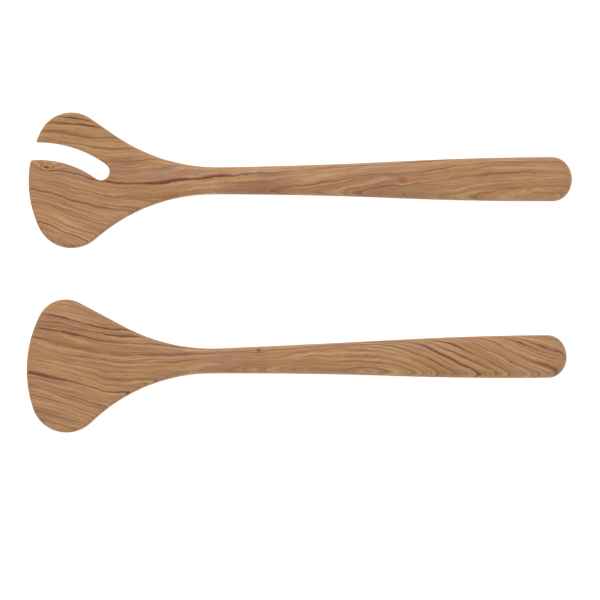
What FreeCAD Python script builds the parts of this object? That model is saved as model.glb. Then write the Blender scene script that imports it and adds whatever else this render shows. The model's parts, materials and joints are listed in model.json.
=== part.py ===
import FreeCAD, Part
import math
import os
from collections import namedtuple

from FreeCAD import Vector

# A pair of wooden salad servers lying side by side, each carved from one piece of olive wood.
# Millimetres. +X runs from the heads to the butts, +Y from the solid server to the slotted one, +Z up.
# Each server is drawn in its own frame: x from its tip along its handle's axis, y across it.

AXIS_SPACING = 110.2        # between the two handle axes, at the tips
SOLID_SET_BACK = -1.2       # the solid server's tip lies this far ahead of the slotted one's
SLOTTED_TURN = 0.25         # degrees each handle is turned on the table
SOLID_TURN = 0.7

STOCK_HEIGHT = 30.0         # height of the board that both are carved from
HEAD_REACH = 46.0           # half width that the carved faces are drawn to, beyond the widest head
EDGE_RADIUS = 1.25          # rounding along the upper and lower edges of each outline
EXTENT_TOLERANCE = 0.02     # how closely the pair's extent is measured when it is centred
LEVEL = 1e-6                # a wall's normal may lean this little

# Outlines. Each side goes from a broad tip arc round a corner at the head's widest place, down a
# straight flank and a hollow to the neck, along the handle's slightly hollow taper, then over a
# slight swell and round the butt.
SWELL_X = 225.0
SWELL_RADIUS = 2000.0
BUTT_END_RADIUS = 15.0
BUTT_CORNER_RADIUS = 11.0

# What belongs to one side, half widths included, is given for the +Y side and then for the -Y side.
Outline = namedtuple(
    "Outline",
    "length tip_radius tip_y widest_x head_widths hollow_radii neck_xs neck_widths taper_radii swell_widths",
)
SLOTTED_OUTLINE = Outline(
    length=330.0, tip_radius=66.0, tip_y=0.0, widest_x=26.0, head_widths=(42.0, 40.5),
    hollow_radii=(110.0, 107.0), neck_xs=(116.5, 112.0), neck_widths=(8.2, 8.3),
    taper_radii=(2800.0, 2800.0), swell_widths=(11.3, 11.2),
)
SOLID_OUTLINE = Outline(
    length=328.0, tip_radius=74.0, tip_y=-5.0, widest_x=24.0, head_widths=(38.5, 42.5),
    hollow_radii=(113.0, 105.0), neck_xs=(117.5, 112.0), neck_widths=(7.6, 7.6),
    taper_radii=(10000.0, 2800.0), swell_widths=(11.5, 10.6),
)

# The slot: a channel of even width along an arc, open at the tip and round at its inner end.
SLOT_WIDTH = 10.5
SLOT_CREST = (6.0, 18.5)    # where its middle line is furthest to the +Y side
SLOT_ARC_RADIUS = 64.0
SLOT_END_X = 44.0
SLOT_RUN_OUT = 15.0         # degrees that the arc goes on past the tip

# The carving, station by station: x, height of the underside, thickness, and how fast the upper and
# the lower face curve across (height = value * y * y). The head is a little dished. The underside
# of the head and of the butt go just below the table plane, where the wood is sanded flat.
STATIONS = [
    (-12.0, 5.0, 2.6, 0.0008, 0.0009),
    (0.0, 2.4, 3.0, 0.0008, 0.0009),
    (15.0, 0.4, 3.7, 0.0008, 0.0009),
    (30.0, -0.35, 4.4, 0.0008, 0.0009),
    (45.0, -0.35, 5.1, 0.0006, 0.0010),
    (60.0, 0.3, 5.8, -0.0010, 0.0020),
    (80.0, 2.0, 7.2, -0.0070, 0.0070),
    (105.0, 4.3, 8.9, -0.0200, 0.0180),
    (140.0, 6.4, 10.1, -0.0240, 0.0220),
    (185.0, 7.0, 10.6, -0.0200, 0.0180),
    (230.0, 5.2, 10.7, -0.0160, 0.0150),
    (275.0, 1.6, 10.6, -0.0130, 0.0120),
    (303.0, -0.25, 10.5, -0.0120, 0.0110),
    (322.0, 0.4, 9.4, -0.0120, 0.0110),
    (342.0, 3.6, 5.0, -0.0120, 0.0110),
]
ACROSS = [-1.0, -0.5, 0.0, 0.5, 1.0]    # shares of HEAD_REACH where the faces are set out


def corner_centre(outline, side, sign):
    """Centre and radius of the head's corner, which touches the tip arc and the head's half width."""
    reach = outline.head_widths[side] - sign * outline.tip_y
    x = outline.widest_x
    tip_radius = outline.tip_radius
    radius = (2 * tip_radius * x - x**2 - reach**2) / (2 * (tip_radius - reach))
    return Vector(x, outline.head_widths[side] - radius, 0), radius


def outward_normal(angle):
    """Unit vector square to a side that runs at an angle to the handle's axis."""
    return Vector(-math.sin(angle), math.cos(angle), 0)


def butt_corner_centre(swell, end_centre):
    """Centre of the butt's corner, which touches the swell and the butt's end from inside."""
    swell_reach = SWELL_RADIUS - BUTT_CORNER_RADIUS
    end_reach = BUTT_END_RADIUS - BUTT_CORNER_RADIUS
    between = end_centre - swell
    run = (swell_reach**2 - end_reach**2 + between.Length**2) / (2 * between.Length)
    aside = math.sqrt(swell_reach**2 - run**2)
    direction = between.normalize()
    return swell + direction * run + Vector(direction.y, -direction.x, 0) * aside


def side_joints(outline, side, sign):
    """Where one side's stretches meet, tip to butt, and its arcs' centres, with y measured outwards."""
    neck = Vector(outline.neck_xs[side], outline.neck_widths[side], 0)
    swell_start = Vector(SWELL_X, outline.swell_widths[side], 0)
    taper_radius = outline.taper_radii[side]
    chord = swell_start - neck
    half_turn = math.asin(chord.Length / (2 * taper_radius))
    chord_angle = math.atan2(chord.y, chord.x)
    neck_normal = outward_normal(chord_angle - half_turn)
    swell_normal = outward_normal(chord_angle + half_turn)
    tip_centre = Vector(outline.tip_radius, sign * outline.tip_y, 0)
    corner, corner_radius = corner_centre(outline, side, sign)
    hollow_radius = outline.hollow_radii[side]
    hollow = neck + neck_normal * hollow_radius
    taper = neck + neck_normal * taper_radius

    between = hollow - corner
    turn = math.acos((corner_radius + hollow_radius) / between.Length)
    angle = math.atan2(between.y, between.x) + turn
    flank_normal = Vector(math.cos(angle), math.sin(angle), 0)

    swell = swell_start - swell_normal * SWELL_RADIUS
    end_centre = Vector(outline.length - BUTT_END_RADIUS, 0, 0)
    butt = butt_corner_centre(swell, end_centre)

    joints = [
        tip_centre + (corner - tip_centre).normalize() * outline.tip_radius,
        corner + flank_normal * corner_radius,
        hollow - flank_normal * hollow_radius,
        neck,
        swell_start,
        swell + (butt - swell).normalize() * SWELL_RADIUS,
        end_centre + (butt - end_centre).normalize() * BUTT_END_RADIUS,
    ]
    centres = [corner, None, hollow, taper, swell, butt]
    return [flipped(point, sign) for point in joints], [flipped(point, sign) for point in centres]


def flipped(point, sign):
    """The same point on the +Y or the -Y side. A straight stretch has no centre."""
    if point is None:
        return None
    return Vector(point.x, sign * point.y, 0)


def stretch(start, end, centre):
    """An arc about a centre, or a straight line where there is none."""
    if centre is None:
        return Part.LineSegment(start, end).toShape()
    middle = ((start - centre) + (end - centre)).normalize() * (start - centre).Length
    return Part.Arc(start, centre + middle, end).toShape()


def outline_face(outline):
    """The flat face inside one server's outline."""
    upper, upper_centres = side_joints(outline, 0, 1)
    lower, lower_centres = side_joints(outline, 1, -1)
    edges = [stretch(*parts) for parts in zip(upper, upper[1:], upper_centres)]
    edges += [stretch(*parts) for parts in zip(lower, lower[1:], lower_centres)]
    edges.append(Part.Arc(upper[0], Vector(0, outline.tip_y, 0), lower[0]).toShape())
    edges.append(Part.Arc(upper[-1], Vector(outline.length, 0, 0), lower[-1]).toShape())
    return Part.Face(Part.Wire(Part.__sortEdges__(edges)))


def carved_face(height_at):
    """A smooth face over the whole blank. height_at gives its height from a station and a y."""
    grid = [
        [Vector(station[0], share * HEAD_REACH, height_at(station, share * HEAD_REACH)) for share in ACROSS]
        for station in STATIONS
    ]
    surface = Part.BSplineSurface()
    surface.interpolate(grid)
    return surface.toShape()


def upper_height(station, y):
    _, underside, thickness, upper_curve, _ = station
    return underside + thickness + upper_curve * y * y


def lower_height(station, y):
    _, underside, _, _, lower_curve = station
    return underside + lower_curve * y * y


def is_wall(face):
    """True for the upright faces that the outline was cut along."""
    start, end, low, high = face.ParameterRange
    normal = face.normalAt((start + end) / 2, (low + high) / 2)
    return abs(normal.z) < LEVEL


def is_upright(edge):
    start, end = edge.Vertexes[0].Point, edge.Vertexes[-1].Point
    return math.hypot(start.x - end.x, start.y - end.y) < EXTENT_TOLERANCE


def long_edges(solid):
    """The edges where the upright walls meet the upper and the lower face."""
    walls = [face for face in solid.Faces if is_wall(face)]
    return [edge for wall in walls for edge in wall.Edges if not is_upright(edge)]


def carved_server(outline):
    """One server in its own frame: its outline cut through the board, both faces carved, edges eased."""
    board = outline_face(outline).extrude(Vector(0, 0, STOCK_HEIGHT))
    above = carved_face(upper_height).extrude(Vector(0, 0, 2 * STOCK_HEIGHT))
    below = carved_face(lower_height).extrude(Vector(0, 0, -2 * STOCK_HEIGHT))
    solid = board.cut(above).cut(below).Solids[0]
    return solid.makeFillet(EDGE_RADIUS, long_edges(solid))


def slot_cutter():
    """The slot as a solid: a band of a ring from beyond the tip to the round inner end."""
    centre = Vector(SLOT_CREST[0], SLOT_CREST[1] - SLOT_ARC_RADIUS, 0)
    up = Vector(0, 0, 1)
    end_angle = math.acos((SLOT_END_X - centre.x) / SLOT_ARC_RADIUS)
    end_point = centre + Vector(math.cos(end_angle), math.sin(end_angle), 0) * SLOT_ARC_RADIUS
    sweep = 90 + SLOT_RUN_OUT - math.degrees(end_angle)
    outer = Part.makeCylinder(SLOT_ARC_RADIUS + SLOT_WIDTH / 2, STOCK_HEIGHT, centre, up, sweep)
    inner = Part.makeCylinder(SLOT_ARC_RADIUS - SLOT_WIDTH / 2, STOCK_HEIGHT, centre)
    band = outer.cut(inner)
    band.rotate(centre, up, math.degrees(end_angle))
    round_end = Part.makeCylinder(SLOT_WIDTH / 2, STOCK_HEIGHT, end_point)
    return band.fuse(round_end)


def extent(shapes):
    """Lowest and highest corner of some shapes, from points on their surfaces."""
    points = [point for shape in shapes for point in shape.tessellate(EXTENT_TOLERANCE)[0]]
    low = Vector(*[min(point[axis] for point in points) for axis in range(3)])
    high = Vector(*[max(point[axis] for point in points) for axis in range(3)])
    return low, high


def laid_out():
    """Both servers, already on the table plane at height 0, with the pair centred on the origin."""
    slotted = carved_server(SLOTTED_OUTLINE).cut(slot_cutter()).Solids[0]
    solid = carved_server(SOLID_OUTLINE)
    slotted.rotate(Vector(0, 0, 0), Vector(0, 0, 1), SLOTTED_TURN)
    solid.rotate(Vector(0, 0, 0), Vector(0, 0, 1), SOLID_TURN)
    slotted.translate(Vector(0, AXIS_SPACING, 0))
    solid.translate(Vector(SOLID_SET_BACK, 0, 0))
    low, high = extent([slotted, solid])
    to_middle = Vector(-(low.x + high.x) / 2, -(low.y + high.y) / 2, 0)
    slotted.translate(to_middle)
    solid.translate(to_middle)
    return {"slotted_server": slotted, "solid_server": solid}


os.makedirs("parts", exist_ok=True)
for name, shape in laid_out().items():
    shape.exportStep(f"parts/{name}.step")
    low, high = extent([shape])
    print(name, shape.isValid(), len(shape.Faces), "faces", round(shape.Volume), "mm3", low, high)
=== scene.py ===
import json
import math
from collections import namedtuple

import bpy
import numpy as np
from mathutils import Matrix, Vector, geometry
from mathutils.bvhtree import BVHTree


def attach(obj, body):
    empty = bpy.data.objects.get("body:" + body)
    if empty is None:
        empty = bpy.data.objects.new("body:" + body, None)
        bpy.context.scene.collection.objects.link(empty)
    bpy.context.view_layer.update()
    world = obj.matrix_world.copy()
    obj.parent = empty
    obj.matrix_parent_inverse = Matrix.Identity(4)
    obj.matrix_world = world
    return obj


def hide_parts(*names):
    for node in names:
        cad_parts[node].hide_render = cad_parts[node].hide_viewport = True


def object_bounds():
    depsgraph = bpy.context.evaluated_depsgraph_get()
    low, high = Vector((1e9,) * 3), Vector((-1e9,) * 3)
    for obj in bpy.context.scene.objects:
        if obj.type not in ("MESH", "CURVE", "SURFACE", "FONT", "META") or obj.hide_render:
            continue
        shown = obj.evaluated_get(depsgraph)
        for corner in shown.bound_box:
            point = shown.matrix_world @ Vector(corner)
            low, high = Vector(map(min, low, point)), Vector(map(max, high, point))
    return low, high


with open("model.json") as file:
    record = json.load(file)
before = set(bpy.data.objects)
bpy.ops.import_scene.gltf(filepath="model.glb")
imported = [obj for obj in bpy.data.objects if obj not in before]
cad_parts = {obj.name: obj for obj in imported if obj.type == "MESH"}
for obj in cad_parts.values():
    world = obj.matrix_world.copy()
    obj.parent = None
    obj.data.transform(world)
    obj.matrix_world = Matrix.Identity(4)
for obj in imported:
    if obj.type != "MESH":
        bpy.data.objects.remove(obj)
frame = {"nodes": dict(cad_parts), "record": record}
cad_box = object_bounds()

# A pair of carved olive wood salad servers. All shapes are worked out in millimetres and written
# to the meshes in metres. Each server's outline and carving are read off its CAD solid.
MM = 0.001

LOOP_STEP = 0.6            # spacing of points round an outline
LOOP_SOFTNESS = 0.9        # smoothing of the outline, which also rounds the slot's two points
NORMAL_SOFTNESS = 2.5      # smoothing of its inward direction, in points
FILL_STEP = 1.3            # spacing of points over the faces
ROLL_STEPS = 7             # steps from a face round to the middle of the edge
HEAD_ROLL = 1.9            # how far the rounded edge reaches in from the outline, on the head
HANDLE_ROLL = 4.2          # the same on the handle
SLOT_ROLL = 0.8            # the same along the slot
ROLL_CHANGE = (60.0, 120.0)    # where along the server the edge grows from head to handle
STATION_STEP = 3.0         # spacing of the stations where the carving is measured
STATION_MARGIN = 2.4       # clear of the CAD solid's own rounded edges
FIT_SAMPLES = 5            # places across each station where the carving is measured
FIT_SOFTNESS = 2.0         # smoothing of the measured carving, in stations
RAY_HEIGHT = 60.0          # well above and below the servers
AXIS_STATIONS = (0.45, 0.9)    # shares of the length where the handle's axis is found
SLOT_NEARNESS = (1.5, 6.0)     # distances from the slot over which its edge radius gives way
ROLL_SOFTNESS = 4.0        # smoothing of the edge radius round the outline, in points
FILL_CLEARANCE = 0.55      # least distance between the filled in points and the ring, in steps
WALL_LEAN = 0.1            # a CAD face that leans less than this all over is an upright wall
JOIN_DIGITS = 3            # CAD points that are the same to this many decimals are one point
KERNEL_REACH = 4           # standard deviations that a smoothing takes in on each side
INSIDE_ONLY = 1            # what the filling keeps: the faces inside the outline
FILL_TOLERANCE = 1e-6


def smooth_table(values, sigma, closed=False):
    """Gaussian smoothing along the first axis, wrapping round if closed."""
    reach = int(KERNEL_REACH * sigma) + 1
    kernel = np.exp(-0.5 * (np.arange(-reach, reach + 1) / sigma) ** 2)
    kernel /= kernel.sum()
    padded = np.pad(values, ((reach, reach), (0, 0)), mode="wrap" if closed else "edge")
    return np.stack([np.convolve(column, kernel, "valid") for column in padded.T], axis=1)


def cad_solid(node):
    """Points in millimetres, triangles, and which triangles belong to upright walls.

    The CAD faces don't share points, so each face is an island of its own, and an island whose
    normals are level all over is a wall. The points are then joined into one closed surface."""
    mesh = frame["nodes"][node].data
    mesh.calc_loop_triangles()
    points = np.array([vertex.co for vertex in mesh.vertices]) / MM
    triangles = np.array([triangle.vertices for triangle in mesh.loop_triangles])
    islands = island_numbers(len(points), triangles)[triangles[:, 0]]
    a, b, c = (points[triangles[:, corner]] for corner in range(3))
    facing = np.cross(b - a, c - a)
    rise = np.bincount(islands, np.abs(facing[:, 2]), len(points))
    area = np.bincount(islands, np.linalg.norm(facing, axis=1), len(points))
    walls = rise[islands] < WALL_LEAN * area[islands]
    _, first, joined = np.unique(points.round(JOIN_DIGITS), axis=0, return_index=True, return_inverse=True)
    triangles = joined.reshape(-1)[triangles]
    whole = np.array([len(set(triangle)) == 3 for triangle in triangles.tolist()])
    return points[first], triangles[whole], walls[whole]


def island_numbers(count, triangles):
    """For each point, the number of the connected island it belongs to."""
    parent = list(range(count))

    def top(point):
        while parent[point] != point:
            parent[point] = parent[parent[point]]
            point = parent[point]
        return point

    for a, b, c in triangles.tolist():
        parent[top(b)] = top(a)
        parent[top(c)] = top(a)
    return np.array([top(point) for point in range(count)])


def rim_loops(triangles):
    """The closed loops of points round a patch of triangles."""
    edges = set()
    for a, b, c in triangles.tolist():
        for start, end in ((a, b), (b, c), (c, a)):
            if (end, start) in edges:
                edges.remove((end, start))
            else:
                edges.add((start, end))
    follow = dict(edges)
    loops = []
    while follow:
        start = next(iter(follow))
        loop = [start]
        while loop[-1] in follow:
            loop.append(follow.pop(loop[-1]))
        loops.append(loop[:-1])
    return loops


def outline_of(points, wall_triangles):
    """A server's outline from above: the upper rim of its upright walls, evenly stepped and smooth."""
    longest = sorted(rim_loops(wall_triangles), key=len)[-2:]
    upper = max(longest, key=lambda loop: points[loop][:, 2].mean())
    return smooth_table(even_loop(points[upper][:, :2]), LOOP_SOFTNESS / LOOP_STEP, closed=True)


def even_loop(corners):
    """The same closed loop, anticlockwise, with points LOOP_STEP apart."""
    x, y = corners.T
    if np.sum(x * np.roll(y, -1) - y * np.roll(x, -1)) < 0:
        corners = corners[::-1]
    ring = np.vstack([corners, corners[:1]])
    run = np.concatenate([[0], np.cumsum(np.linalg.norm(np.diff(ring, axis=0), axis=1))])
    at = np.linspace(0, run[-1], int(run[-1] / LOOP_STEP), endpoint=False)
    return np.stack([np.interp(at, run, ring[:, 0]), np.interp(at, run, ring[:, 1])], axis=1)


class Server:
    """One server's own frame and measured shape.

    Its own frame runs along from the tip to the butt, and across from the handle's axis."""

    def __init__(self, node):
        points, triangles, walls = cad_solid(node)
        self.node = node
        self.outline = outline_of(points, triangles[walls])
        self.tree = BVHTree.FromPolygons(points.tolist(), triangles.tolist())
        low, high = self.outline.min(0), self.outline.max(0)
        self.length = high[0] - low[0]
        near, far = (self.middle_at(low[0] + self.length * share) for share in AXIS_STATIONS)
        self.turn = math.atan2(far[1] - near[1], far[0] - near[0])
        self.tip = near - np.array([math.cos(self.turn), math.sin(self.turn)]) * (near[0] - low[0])
        self.measure_carving()

    def crossings(self, x):
        """Where the outline crosses one x, in rising order."""
        start, end = self.outline, np.roll(self.outline, -1, axis=0)
        hit = (start[:, 0] < x) != (end[:, 0] < x)
        share = (x - start[hit, 0]) / (end[hit, 0] - start[hit, 0])
        return np.sort(start[hit, 1] + share * (end[hit, 1] - start[hit, 1]))

    def middle_at(self, x):
        edges = self.crossings(x)
        return np.array([x, (edges[0] + edges[-1]) / 2])

    def measure_carving(self):
        """At each station, fits both carved faces across with a height, a slope and a curve."""
        low, high = self.outline[:, 0].min(), self.outline[:, 0].max()
        self.centre_y = self.middle_at((low + high) / 2)[1]
        stations, upper, lower = [], [], []
        for x in np.arange(low + STATION_STEP, high - STATION_STEP, STATION_STEP):
            samples = self.samples_across(x)
            if len(samples) < FIT_SAMPLES:
                continue
            y, top, bottom = np.array(samples).T
            powers = np.stack([np.ones_like(y), y - self.centre_y, (y - self.centre_y) ** 2], axis=1)
            stations.append(x)
            upper.append(np.linalg.lstsq(powers, top, rcond=None)[0])
            lower.append(np.linalg.lstsq(powers, bottom, rcond=None)[0])
        self.stations = np.array(stations)
        self.upper = smooth_table(np.array(upper), FIT_SOFTNESS)
        self.lower = smooth_table(np.array(lower), FIT_SOFTNESS)

    def samples_across(self, x):
        """(y, top, bottom) of the CAD solid at places across one x, clear of its rounded edges."""
        edges = self.crossings(x)
        samples = []
        for start, end in zip(edges[::2], edges[1::2]):
            if end - start < 2 * STATION_MARGIN:
                continue
            for y in np.linspace(start + STATION_MARGIN, end - STATION_MARGIN, FIT_SAMPLES):
                top = self.tree.ray_cast(Vector((x, y, RAY_HEIGHT)), Vector((0, 0, -1)))[0]
                bottom = self.tree.ray_cast(Vector((x, y, -RAY_HEIGHT)), Vector((0, 0, 1)))[0]
                if top and bottom:
                    samples.append((y, top.z, bottom.z))
        return samples

    def heights(self, points):
        """Heights of the two carved faces above each x, y. Nothing goes below the table plane."""
        x, across = points[:, 0], points[:, 1] - self.centre_y
        powers = np.stack([np.ones_like(across), across, across**2])
        top, bottom = (
            sum(extended(x, self.stations, table[:, power]) * powers[power] for power in range(3))
            for table in (self.upper, self.lower)
        )
        return top, np.maximum(bottom, 0.0)

    def own(self, points):
        """x, y in the row frame to distance along and across, from the tip."""
        offset = points[:, :2] - self.tip
        cosine, sine = math.cos(self.turn), math.sin(self.turn)
        return np.stack([offset @ [cosine, sine], offset @ [-sine, cosine]], axis=1)


def extended(x, stations, values):
    """Linear interpolation that goes on straight past both ends."""
    inside = np.interp(x, stations, values)
    first = (values[1] - values[0]) / (stations[1] - stations[0])
    last = (values[-1] - values[-2]) / (stations[-1] - stations[-2])
    before, after = np.minimum(x - stations[0], 0), np.maximum(x - stations[-1], 0)
    return inside + before * first + after * last


def smooth_step(low, high, value):
    share = np.clip((value - low) / (high - low), 0, 1)
    return share * share * (3 - 2 * share)


def slot_boxes():
    """The slot's open space as the record states it, in millimetres."""
    openings = frame["record"]["physics"].get("openings", [])
    return [np.array(opening["box_m"]) / MM for opening in openings]


def distance_to_slot(points):
    """How far each x, y is from the slot's open space."""
    nearest = np.full(len(points), np.inf)
    for low, high in slot_boxes():
        outside = np.maximum(np.maximum(low[:2] - points, points - high[:2]), 0)
        nearest = np.minimum(nearest, np.linalg.norm(outside, axis=1))
    return nearest


def inward_normals(loop):
    """Unit normals that point into an anticlockwise loop."""
    along = np.roll(loop, -1, axis=0) - np.roll(loop, 1, axis=0)
    along = smooth_table(along, NORMAL_SOFTNESS, closed=True)
    along /= np.linalg.norm(along, axis=1, keepdims=True)
    return np.stack([-along[:, 1], along[:, 0]], axis=1)


def roll_reach(server):
    """How far the rounded edge reaches in, at each point of the outline."""
    loop = server.outline
    along = server.own(loop)[:, 0]
    reach = HEAD_ROLL + (HANDLE_ROLL - HEAD_ROLL) * smooth_step(*ROLL_CHANGE, along)
    beside_slot = 1 - smooth_step(*SLOT_NEARNESS, distance_to_slot(loop))
    reach += (SLOT_ROLL - reach) * beside_slot
    return smooth_table(reach[:, None], ROLL_SOFTNESS, closed=True)


def fill_points(ring):
    """Evenly spread points inside a closed ring, clear of the ring's own points."""
    low, high = ring.min(0), ring.max(0)
    xs = np.arange(low[0] + FILL_STEP / 2, high[0], FILL_STEP)
    ys = np.arange(low[1] + FILL_STEP / 2, high[1], FILL_STEP)
    chosen = []
    start, end = ring, np.roll(ring, -1, axis=0)
    for x in xs:
        hit = (start[:, 0] < x) != (end[:, 0] < x)
        share = (x - start[hit, 0]) / (end[hit, 0] - start[hit, 0])
        edges = np.sort(start[hit, 1] + share * (end[hit, 1] - start[hit, 1]))
        near = ring[np.abs(ring[:, 0] - x) < FILL_STEP]
        for y in ys[np.searchsorted(edges, ys) % 2 == 1]:
            if np.min(np.sum((near - (x, y)) ** 2, axis=1)) > (FILL_CLEARANCE * FILL_STEP) ** 2:
                chosen.append((x, y))
    return np.array(chosen)


def build_surface(server):
    """Points and faces of the carved form: rolled edges round the outline, and both faces filled in."""
    loop, inward, reach = server.outline, inward_normals(server.outline), roll_reach(server)
    count = len(loop)
    angles = np.linspace(0, math.pi / 2, ROLL_STEPS + 1)
    rings = [loop + inward * reach * (1 - math.cos(angle)) for angle in angles]
    levels = [points_at(server, ring, math.sin(angle)) for ring, angle in zip(rings, angles)]
    fill = fill_points(rings[-1])
    flat = [Vector(point) for point in np.vstack([rings[-1], fill])]
    spread = geometry.delaunay_2d_cdt(flat, [], [list(range(count))], INSIDE_ONLY, FILL_TOLERANCE)
    inside = np.array([vertex.to_tuple() for vertex in spread[0]])
    source = [originals[0] if originals else len(flat) for originals in spread[3]]
    top, bottom = points_at(server, inside, 1.0)

    points = [levels[0][0]]
    upper_rings, lower_rings = [list(range(count))], [list(range(count))]
    for upper_level, lower_level in levels[1:]:
        base = sum(len(block) for block in points)
        points += [upper_level, lower_level]
        upper_rings.append(list(range(base, base + count)))
        lower_rings.append(list(range(base + count, base + 2 * count)))
    faces = []
    for rings_up, flip in ((upper_rings, False), (lower_rings, True)):
        for outer, inner in zip(rings_up, rings_up[1:]):
            for place in range(count):
                after = (place + 1) % count
                quad = (outer[place], outer[after], inner[after], inner[place])
                faces.append(quad[::-1] if flip else quad)
    base = sum(len(block) for block in points)
    extra = [place for place in range(len(inside)) if source[place] >= count]
    upper_of, lower_of = {}, {}
    for order, place in enumerate(extra):
        upper_of[place] = base + order
        lower_of[place] = base + len(extra) + order
    for place, original in enumerate(source):
        if original < count:
            upper_of[place] = upper_rings[-1][original]
            lower_of[place] = lower_rings[-1][original]
    points += [top[extra], bottom[extra]]
    for face in spread[2]:
        faces.append(tuple(upper_of[place] for place in face))
        faces.append(tuple(lower_of[place] for place in reversed(face)))
    return np.vstack(points), faces


def points_at(server, flat, share):
    """The upper and the lower point over each x, y, at a share of the way from the middle to each face."""
    top, bottom = server.heights(flat)
    middle, half = (top + bottom) / 2, (top - bottom) / 2
    return (
        np.column_stack([flat, middle + half * share]),
        np.column_stack([flat, middle - half * share]),
    )


def carve(node):
    """The finished mesh of one server, standing for its CAD node."""
    server = Server(node)
    points, faces = build_surface(server)
    mesh = bpy.data.meshes.new(node + "_carving")
    mesh.from_pydata((points * MM).tolist(), [], faces)
    mesh.validate()
    mesh.polygons.foreach_set("use_smooth", [True] * len(mesh.polygons))
    obj = bpy.data.objects.new(node + "_carving", mesh)
    bpy.context.scene.collection.objects.link(obj)
    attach(obj, node)
    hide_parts(node)
    return obj, server, points


# How the grain runs in each server, in millimetres. From the tip it falls towards -Y through the head,
# more so on the -Y side, then rises along the handle, and in one server falls again through the butt.
Grain = namedtuple("Grain", "head_fall fan rise rise_span butt_fall knots seed")
# A knot's place along and across, its radius, how far it pushes the rings aside, and its colour.
Knot = namedtuple("Knot", "along across radius push colour")

HEAD_SPAN = (-15.0, 62.0)
BUTT_SPAN = (200.0, 345.0)
GRAIN_LEAN = 2.2           # how far the rings shift across for each millimetre down into the wood
SLOTTED_GRAIN = Grain(
    head_fall=15.0, fan=0.2, rise=22.0, rise_span=(65.0, 330.0), butt_fall=0.0, seed=3.0,
    knots=[Knot(11.0, 9.0, 1.5, 5.0, "dark"), Knot(227.0, 0.0, 2.6, 0.5, "red")],
)
SOLID_GRAIN = Grain(
    head_fall=15.0, fan=0.1, rise=6.0, rise_span=(110.0, 190.0), butt_fall=50.0, seed=6.0,
    knots=[Knot(141.0, 6.0, 1.6, 2.0, "dark"), Knot(294.0, -3.0, 0.7, 0.2, "dark")],
)


def across_the_tree(flat, grain):
    """Where each place would sit across a straight grained board, by undoing the grain's course."""
    along, across = flat.T
    head = smooth_step(*HEAD_SPAN, along) - smooth_step(*HEAD_SPAN, 0.0)
    rise = grain.rise * smooth_step(*grain.rise_span, along)
    fall = grain.butt_fall * smooth_step(*BUTT_SPAN, along)
    return (across + grain.head_fall * head - rise + fall) / (1 + grain.fan * head)


def draw_grain(obj, server, points, grain):
    """Stores each point's place in the server and in the tree, for the wood material."""
    flat = server.own(points)
    depth = server.heights(points[:, :2])[0] - points[:, 2]
    store(obj.data, "place", np.column_stack([flat, depth]))
    flat[:, 1] += GRAIN_LEAN * depth
    store(obj.data, "grain", np.column_stack([flat[:, 0], across_the_tree(flat, grain), points[:, 2]]))


def store(mesh, name, rows):
    attribute = mesh.attributes.new(name, "FLOAT_VECTOR", "POINT")
    attribute.data.foreach_set("vector", rows.astype(np.float32).ravel())


# How fast a noise changes for each millimetre along the grain and across it, and how fine it is.
Noise = namedtuple("Noise", "along across detail roughness", defaults=[0.55])


class Nodes:
    """Small helper that builds a shader node tree out of named steps."""

    def __init__(self, name):
        self.material = bpy.data.materials.new(name)
        self.material.use_nodes = True
        self.tree = self.material.node_tree
        self.tree.nodes.clear()

    def add(self, kind, output=0, inputs=None, **settings):
        node = self.tree.nodes.new(kind)
        for key, value in settings.items():
            setattr(node, key, value)
        for key, value in (inputs or {}).items():
            if isinstance(value, bpy.types.NodeSocket):
                self.tree.links.new(value, node.inputs[key])
            else:
                node.inputs[key].default_value = value
        return node.outputs[output]

    def math(self, operation, *values):
        return self.add("ShaderNodeMath", inputs=dict(enumerate(values)), operation=operation)

    def parts(self, attribute):
        vector = self.add("ShaderNodeAttribute", output="Vector", attribute_name=attribute)
        split = self.add("ShaderNodeSeparateXYZ", inputs={0: vector}).node
        return split.outputs

    def noise(self, along, across, third, kind):
        """Noise from 0 to 1 over the wood. third is the depth, or a number that sets it apart."""
        scaled = [self.math("MULTIPLY", along, kind.along), self.math("MULTIPLY", across, kind.across)]
        place = self.add("ShaderNodeCombineXYZ", inputs=dict(enumerate([*scaled, third])))
        inputs = {"Vector": place, "Scale": 1.0, "Detail": kind.detail, "Roughness": kind.roughness}
        return self.add("ShaderNodeTexNoise", inputs=inputs)

    def ramp(self, value, low, high, start=0.0, end=1.0):
        inputs = {0: value, 1: low, 2: high, 3: start, 4: end}
        return self.add("ShaderNodeMapRange", inputs=inputs, interpolation_type="SMOOTHSTEP")

    def white(self, value, seed):
        """A different steady number from 0 to 1 for each whole value."""
        shifted = self.math("ADD", value, seed)
        return self.add("ShaderNodeTexWhiteNoise", inputs={"W": shifted}, noise_dimensions="1D")

    def centred(self, value, scale):
        """A value from 0 to 1 moved to lie about 0, and scaled."""
        return self.math("MULTIPLY", self.math("SUBTRACT", value, 0.5), scale)

    def mix(self, share, first, second):
        inputs = {0: share, 6: first, 7: second}
        return self.add("ShaderNodeMix", output=2, inputs=inputs, data_type="RGBA")

    def finish(self, surface):
        output = self.tree.nodes.new("ShaderNodeOutputMaterial")
        self.tree.links.new(surface, output.inputs["Surface"])


HONEY = (0.470, 0.250, 0.108, 1.0)
PALE = (0.595, 0.375, 0.190, 1.0)
TAN = (0.310, 0.135, 0.048, 1.0)
ROSY = (0.410, 0.210, 0.116, 1.0)
BROWN = (0.190, 0.060, 0.020, 1.0)
UMBER = (0.095, 0.031, 0.012, 1.0)
GOLD = (0.500, 0.272, 0.090, 1.0)
KNOT_COLOURS = {"dark": (0.090, 0.036, 0.022, 1.0), "red": (0.400, 0.105, 0.035, 1.0)}

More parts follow.
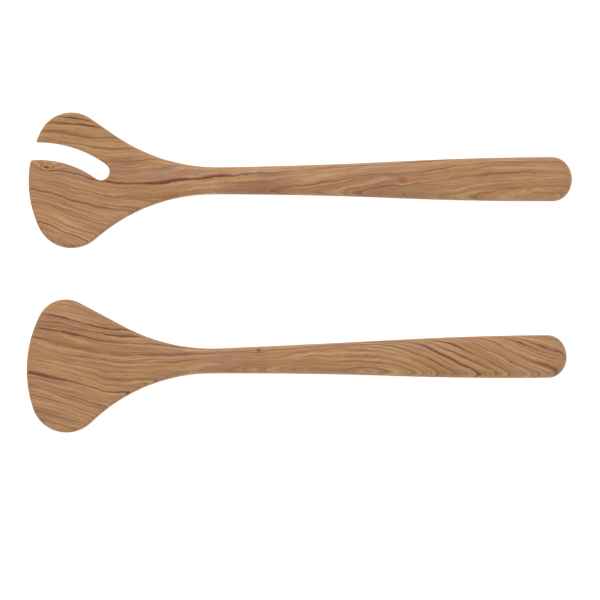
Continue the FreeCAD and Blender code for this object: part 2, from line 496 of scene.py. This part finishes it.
# Rings, in millimetres. The width is of a ring's soft side, and RING_BREADTHS changes it along the ring.
BOLD_SPACING = 5.3         # between the bold dark rings
BOLD_WIDTH = 1.5
FAINT_SPACING = 1.9        # between the faint rings among them
FAINT_WIDTH = 0.8
RING_JITTER = 0.9          # how unevenly rings lie, as a share of their spacing
RING_BREADTHS = (0.45, 1.6)    # at a ring's narrowest and broadest places, as shares of the width
SHARP_SIDE = -0.4          # where a ring starts on its sharp side, as a share of its breadth
BREADTH_NOISE = Noise(0.05, 2.3, 2.0)    # here and in the next, across counts rings
FADING_NOISE = Noise(0.02, 3.7, 2.0)

# How far the rings wander, in millimetres, and the noises they wander by.
WANDERINGS = [(Noise(0.015, 0.05, 2.0), 9.0), (Noise(0.09, 0.12, 4.0), 2.4), (Noise(0.35, 0.35, 3.0), 0.8)]

FIBRE_NOISE = Noise(0.025, 0.9, 6.0, 0.6)
PORE_NOISE = Noise(0.30, 4.0, 2.0)
FLECK_NOISE = Noise(0.12, 1.6, 4.0)
PATCH_NOISE = Noise(0.02, 0.09, 3.0)
GOLD_NOISE = Noise(0.035, 0.12, 2.0)
ZONE_NOISE = Noise(0.022, 0.10, 2.0)    # plain and figured zones

# Added to a server's seed, so that no two noises are alike.
BOLDNESS_SEED = 20
BREADTH_SEED = 30
FAINT_SEED = 40
PATCH_SEED = 9
GOLD_SEED = 15
ZONE_SEED = 50

# Ramps: the two values that each runs between, and what it gives at them where that isn't 0 and 1.
BREADTH_RAMP = (0.3, 0.7)
BOLDNESS_RAMP = (0.0, 0.8, 0.25, 1.0)
FADING_RAMP = (0.3, 0.6, 0.45, 1.0)
ROSY_RAMP = (0.38, 0.66)
GOLD_RAMP = (0.52, 0.72, 0.0, 0.8)
PALE_RAMP = (0.50, 0.34, 0.0, 0.80)
TAN_RAMP = (0.50, 0.66, 0.0, 0.85)
ZONE_RAMP = (0.44, 0.64, 0.08, 0.90)
FLECK_RAMP = (0.54, 0.72, 0.0, 0.75)
PORE_RAMP = (0.64, 0.76)
BROWN_RAMP = (0.0, 0.85, 0.0, 0.95)
UMBER_RAMP = (0.65, 1.0, 0.0, 0.5)
EDGE_RING_RAMP = (0.3, 2.5, 1.0, 0.55)    # bold rings, weaker down the sides, over the depth
SIDE_SHADE_RAMP = (0.8, 4.0, 0.0, 0.4)          # painted shade: the wood's colour darkened down the sides, over the depth
ROUGHNESS_RAMP = (0.3, 0.7, 0.42, 0.54)

PORE_DARKNESS = 0.45
FIBRE_RELIEF = 0.5
PORE_RELIEF = 0.8
BUMP_STRENGTH = 0.18
BUMP_DEPTH = 0.00012       # metres
SPECULAR_LEVEL = 0.35

KNOT_SWELLING = 2.5        # how much wider than a knot the rings are pushed aside
KNOT_SHORTNESS = 0.6       # distances along count for less, so that a knot is longer than wide
KNOT_SHALLOWNESS = 0.8     # distances down count for this much
RINGED_KNOT_PUSH = 3.0     # a knot that pushes the rings further than this has a dark ring of its own
KNOT_RING_OUTSIDE = (0.03, 0.07)
KNOT_RING_INSIDE = (0.07, 0.14, 1.0, 0.0)
KNOT_RING_DARKNESS = 0.7
KNOT_RAMP = (0.40, 0.90, 0.0, 0.80)


def growth_rings(nodes, across, along, spacing, width, seed):
    """Dark rings of uneven spacing and strength, each sharp on one side and soft on the other."""
    scaled = nodes.math("DIVIDE", across, spacing)
    ring = nodes.math("ROUND", scaled)
    jitter = nodes.centred(nodes.white(ring, seed), RING_JITTER)
    share = nodes.math("SUBTRACT", nodes.math("SUBTRACT", scaled, ring), jitter)
    offset = nodes.math("MULTIPLY", share, spacing)
    narrowest, broadest = (breadth * width for breadth in RING_BREADTHS)
    swell = nodes.noise(along, ring, seed + BREADTH_SEED, BREADTH_NOISE)
    breadth = nodes.ramp(swell, *BREADTH_RAMP, narrowest, broadest)
    before = nodes.ramp(offset, nodes.math("MULTIPLY", breadth, SHARP_SIDE), 0.0)
    after = nodes.ramp(offset, 0.0, breadth, 1.0, 0.0)
    boldness = nodes.ramp(nodes.white(ring, seed + BOLDNESS_SEED), *BOLDNESS_RAMP)
    fading = nodes.ramp(nodes.noise(along, ring, seed, FADING_NOISE), *FADING_RAMP)
    line = nodes.math("MULTIPLY", before, after)
    return nodes.math("MULTIPLY", line, nodes.math("MULTIPLY", boldness, fading))


def nearness(nodes, place, knot, radius):
    """How near a place is to a knot: 1 at its middle on the upper face, falling smoothly."""
    along, across, depth = place
    dx = nodes.math("MULTIPLY", nodes.math("SUBTRACT", along, knot.along), KNOT_SHORTNESS)
    dy = nodes.math("SUBTRACT", across, knot.across)
    dz = nodes.math("MULTIPLY", depth, KNOT_SHALLOWNESS)
    square = nodes.math("ADD", nodes.math("MULTIPLY", dx, dx), nodes.math("MULTIPLY", dy, dy))
    square = nodes.math("ADD", square, nodes.math("MULTIPLY", dz, dz))
    return nodes.math("EXPONENT", nodes.math("DIVIDE", square, -radius * radius))


def wandering(nodes, along, across, place, grain):
    """The place across the tree, pushed aside by knots and then wandering a little."""
    for knot in grain.knots:
        swelling = nearness(nodes, place, knot, KNOT_SWELLING * knot.radius)
        across = nodes.math("ADD", across, nodes.math("MULTIPLY", swelling, knot.push))
    slow, quick, rough = (
        nodes.centred(nodes.noise(along, across, grain.seed, kind), reach) for kind, reach in WANDERINGS
    )
    waver = nodes.math("ADD", nodes.math("ADD", slow, quick), rough)
    return nodes.math("ADD", across, waver)


def with_knots(nodes, colour, place, grain):
    """The wood's colour with the knots drawn in."""
    for knot in grain.knots:
        heart = nearness(nodes, place, knot, knot.radius)
        if knot.push > RINGED_KNOT_PUSH:
            outside = nodes.ramp(heart, *KNOT_RING_OUTSIDE)
            loop = nodes.math("MULTIPLY", outside, nodes.ramp(heart, *KNOT_RING_INSIDE))
            colour = nodes.mix(nodes.math("MULTIPLY", loop, KNOT_RING_DARKNESS), colour, BROWN)
        colour = nodes.mix(nodes.ramp(heart, *KNOT_RAMP), colour, KNOT_COLOURS[knot.colour])
    return colour


def olive_wood(name, grain):
    """Oiled olive wood: bold and faint rings, tone patches, long fibres, pores and a few small knots."""
    nodes = Nodes(name)
    seed = grain.seed
    along, straight_across = nodes.parts("grain")[:2]
    place = nodes.parts("place")
    depth = place[2]
    across = wandering(nodes, along, straight_across, place, grain)

    bold = growth_rings(nodes, across, along, BOLD_SPACING, BOLD_WIDTH, seed)
    bold = nodes.math("MULTIPLY", bold, nodes.ramp(depth, *EDGE_RING_RAMP))
    faint = growth_rings(nodes, across, along, FAINT_SPACING, FAINT_WIDTH, seed + FAINT_SEED)
    fibres = nodes.noise(along, across, seed, FIBRE_NOISE)
    pores = nodes.ramp(nodes.noise(along, across, depth, PORE_NOISE), *PORE_RAMP)
    flecks = nodes.ramp(nodes.noise(along, across, depth, FLECK_NOISE), *FLECK_RAMP)
    rosy = nodes.ramp(nodes.noise(along, across, seed + PATCH_SEED, PATCH_NOISE), *ROSY_RAMP)
    golden = nodes.ramp(nodes.noise(along, across, seed + GOLD_SEED, GOLD_NOISE), *GOLD_RAMP)
    figured = nodes.ramp(nodes.noise(along, across, seed + ZONE_SEED, ZONE_NOISE), *ZONE_RAMP)

    colour = nodes.mix(rosy, HONEY, ROSY)
    colour = nodes.mix(golden, colour, GOLD)
    colour = nodes.mix(nodes.ramp(fibres, *PALE_RAMP), colour, PALE)
    colour = nodes.mix(nodes.ramp(fibres, *TAN_RAMP), colour, TAN)
    colour = nodes.mix(nodes.math("MULTIPLY", faint, figured), colour, TAN)
    colour = nodes.mix(flecks, colour, TAN)
    colour = nodes.mix(nodes.math("MULTIPLY", pores, PORE_DARKNESS), colour, BROWN)
    colour = nodes.mix(nodes.ramp(bold, *BROWN_RAMP), colour, BROWN)
    colour = nodes.mix(nodes.ramp(bold, *UMBER_RAMP), colour, UMBER)
    # painted shade: the colour goes darker towards TAN down the sides, where less light falls
    colour = nodes.mix(nodes.ramp(depth, *SIDE_SHADE_RAMP), colour, TAN)
    colour = with_knots(nodes, colour, place, grain)

    raised = nodes.math("MULTIPLY", fibres, FIBRE_RELIEF)
    relief = nodes.math("SUBTRACT", raised, nodes.math("MULTIPLY", pores, PORE_RELIEF))
    bump_inputs = {"Strength": BUMP_STRENGTH, "Distance": BUMP_DEPTH, "Height": relief}
    surface = nodes.add(
        "ShaderNodeBsdfPrincipled",
        inputs={
            "Base Color": colour,
            "Roughness": nodes.ramp(fibres, *ROUGHNESS_RAMP),
            "Normal": nodes.add("ShaderNodeBump", inputs=bump_inputs),
            "Specular IOR Level": SPECULAR_LEVEL,
        },
    )
    nodes.finish(surface)
    return nodes.material


def make_server(node, slot, grain):
    obj, server, points = carve(node)
    draw_grain(obj, server, points, grain)
    obj.data.materials.append(olive_wood(slot, grain))


# The studio, in metres.
WHITE = (1.0, 1.0, 1.0, 1.0)
FLOOR_HEIGHT = -0.0002     # just under the servers, so that no two faces lie in one plane
FLOOR_REACH = 4.0          # half its side
FLOOR_COLOUR = (0.70, 0.70, 0.70, 1.0)
FLOOR_ROUGHNESS = 0.9
FLOOR_GLOW = 0.69          # keeps the floor white and its shadows faint
WORLD_STRENGTH = 0.68
KEY_PLACE = (-0.3, 1.2, 1.3)
KEY_SIZE = 2.2
KEY_POWER = 15.0           # watts

CAD_LENGTH = cad_box[1][0] - cad_box[0][0]
CAD_WIDTH = cad_box[1][1] - cad_box[0][1]
PICTURE_WIDTH = 1.101 * CAD_LENGTH
PICTURE_CENTRE = (0.0013 * CAD_LENGTH, -0.086 * CAD_WIDTH)    # the pair sits above the middle
SENSOR_WIDTH = 36.0        # millimetres, as the lens is
LENS = 600.0
CLIP_END = 50.0


def make_floor():
    mesh = bpy.data.meshes.new("floor")
    signs = ((-1, -1), (1, -1), (1, 1), (-1, 1))
    corners = [(x * FLOOR_REACH, y * FLOOR_REACH, FLOOR_HEIGHT) for x, y in signs]
    mesh.from_pydata(corners, [], [(0, 1, 2, 3)])
    floor = bpy.data.objects.new("floor", mesh)
    bpy.context.scene.collection.objects.link(floor)
    nodes = Nodes("floor_paint")
    surface = nodes.add(
        "ShaderNodeBsdfPrincipled",
        inputs={
            "Base Color": FLOOR_COLOUR,
            "Roughness": FLOOR_ROUGHNESS,
            "Specular IOR Level": 0.0,
            "Emission Color": WHITE,
            "Emission Strength": FLOOR_GLOW,
        },
    )
    nodes.finish(surface)
    mesh.materials.append(nodes.material)


def area_light(name, place, aim, size, power):
    data = bpy.data.lights.new(name, "AREA")
    data.shape = "DISK"
    data.size = size
    data.energy = power
    light = bpy.data.objects.new(name, data)
    light.location = place
    light.rotation_euler = (Vector(aim) - Vector(place)).to_track_quat("-Z", "Y").to_euler()
    bpy.context.scene.collection.objects.link(light)


def make_lights():
    world = bpy.data.worlds.new("studio")
    world.use_nodes = True
    background = world.node_tree.nodes["Background"]
    background.inputs["Color"].default_value = WHITE
    background.inputs["Strength"].default_value = WORLD_STRENGTH
    bpy.context.scene.world = world
    area_light("key", KEY_PLACE, (0.0, 0.0, 0.0), KEY_SIZE, KEY_POWER)
    bpy.context.scene.view_settings.view_transform = "Standard"


def make_camera():
    """Straight above, from far enough away that the view is nearly without perspective."""
    data = bpy.data.cameras.new("camera")
    data.sensor_width = SENSOR_WIDTH
    data.lens = LENS
    data.clip_end = CLIP_END
    camera = bpy.data.objects.new("camera", data)
    camera.location = (*PICTURE_CENTRE, PICTURE_WIDTH * LENS / SENSOR_WIDTH)
    bpy.context.scene.collection.objects.link(camera)
    bpy.context.scene.camera = camera


make_server("slotted_server", "slotted_olive_wood", SLOTTED_GRAIN)
make_server("solid_server", "solid_olive_wood", SOLID_GRAIN)
make_floor()
make_lights()
make_camera()
